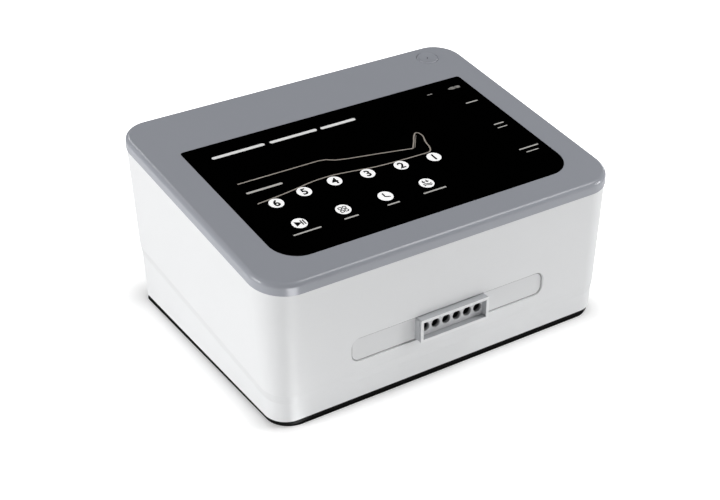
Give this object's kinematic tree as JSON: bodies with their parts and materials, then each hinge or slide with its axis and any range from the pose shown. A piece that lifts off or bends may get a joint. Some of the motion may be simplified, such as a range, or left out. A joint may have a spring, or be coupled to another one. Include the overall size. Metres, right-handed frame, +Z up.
{
  "type": "compression therapy pump",
  "caption": "Table-top air compression pump with a sloping touch panel, a push power button, a multi-port air socket and an oscillating diaphragm pump inside.",
  "frame": {"origin": "centre of the whole outline on the table, under the feet", "axes": "+X across the unit to the right of a person who faces the air socket, +Y from the socket at the front to the rear, +Z up"},
  "size_m": [0.2808, 0.212, 0.1347],
  "materials": {
    "white_shell": "satin",
    "white_plate": "satin",
    "light_guide_white": "matte",
    "filter_felt": "matte",
    "grey_bezel": "satin",
    "grey_button": "satin",
    "black_panel": "gloss",
    "socket_plastic": "satin",
    "port_plastic": "satin",
    "black_base": "matte",
    "foot_rubber": "matte",
    "black_plastic": "matte",
    "component_black": "matte",
    "circuit_board": "satin",
    "supply_board": "satin",
    "lamp_resin": "gloss",
    "brass_fitting": "satin",
    "hose_rubber": "satin",
    "manifold_plastic": "satin",
    "zinc_steel": "satin",
    "core_steel": "satin",
    "coil_copper": "satin",
    "magnet_grey": "satin",
    "transformer_tape": "satin",
    "capacitor_blue": "satin",
    "lead_black": "satin",
    "ribbon_grey": "satin",
    "screw_steel": "satin"
  },
  "bodies": {
    "case": {"main_housing": "white_shell", "top_bezel": "grey_bezel", "touch_panel": "black_panel", "power_switch": "black_plastic", "switch_board": "circuit_board", "display_board": "circuit_board", "digit_displays": "black_plastic", "light_guides": "light_guide_white", "key_lamps": "lamp_resin", "connector_plate": "white_plate", "air_socket": "socket_plastic", "port_block": "port_plastic", "port_barbs": "brass_fitting", "air_hoses": "hose_rubber", "manifold_barbs": "brass_fitting", "valve_manifold": "manifold_plastic", "solenoid_valves": "zinc_steel", "valve_bracket": "zinc_steel", "pump_tray": "zinc_steel", "pump_mounts": "foot_rubber", "pump_frame": "black_plastic", "magnet_cores": "core_steel", "magnet_coils": "coil_copper", "diaphragms": "foot_rubber", "valve_boxes": "black_plastic", "pump_pipe": "hose_rubber", "intake_filter": "filter_felt", "pump_hose": "hose_rubber", "main_board": "circuit_board", "board_components": "component_black", "power_supply_board": "supply_board", "supply_transformer": "transformer_tape", "supply_capacitors": "capacitor_blue", "mains_inlet": "black_plastic", "inlet_pins": "brass_fitting", "mains_leads": "lead_black", "supply_leads": "lead_black", "pump_leads": "lead_black", "valve_leads": "lead_black", "switch_lead": "lead_black", "display_ribbon": "ribbon_grey", "base_cover": "black_base", "rubber_feet": "foot_rubber", "base_screws": "screw_steel", "bezel_screws": "screw_steel", "socket_screws": "screw_steel", "board_screws": "screw_steel"},
    "button": {"power_button": "grey_button", "switch_plunger": "black_plastic"},
    "armature": {"armature_bar": "core_steel", "armature_magnets": "magnet_grey"}
  },
  "joints": [
    {"name": "power_button_press", "type": "slide", "parent": "case", "child": "button", "axis": [0, 0.1167, -0.9932], "range_m": [0, 0.0008], "stiffness_N_per_m": 600},
    {"name": "armature_slide", "type": "slide", "parent": "case", "child": "armature", "axis": [1, 0, 0], "range_m": [-0.0015, 0.0015], "stiffness_N_per_m": 8000, "deforming": ["diaphragms"]}
  ]
}
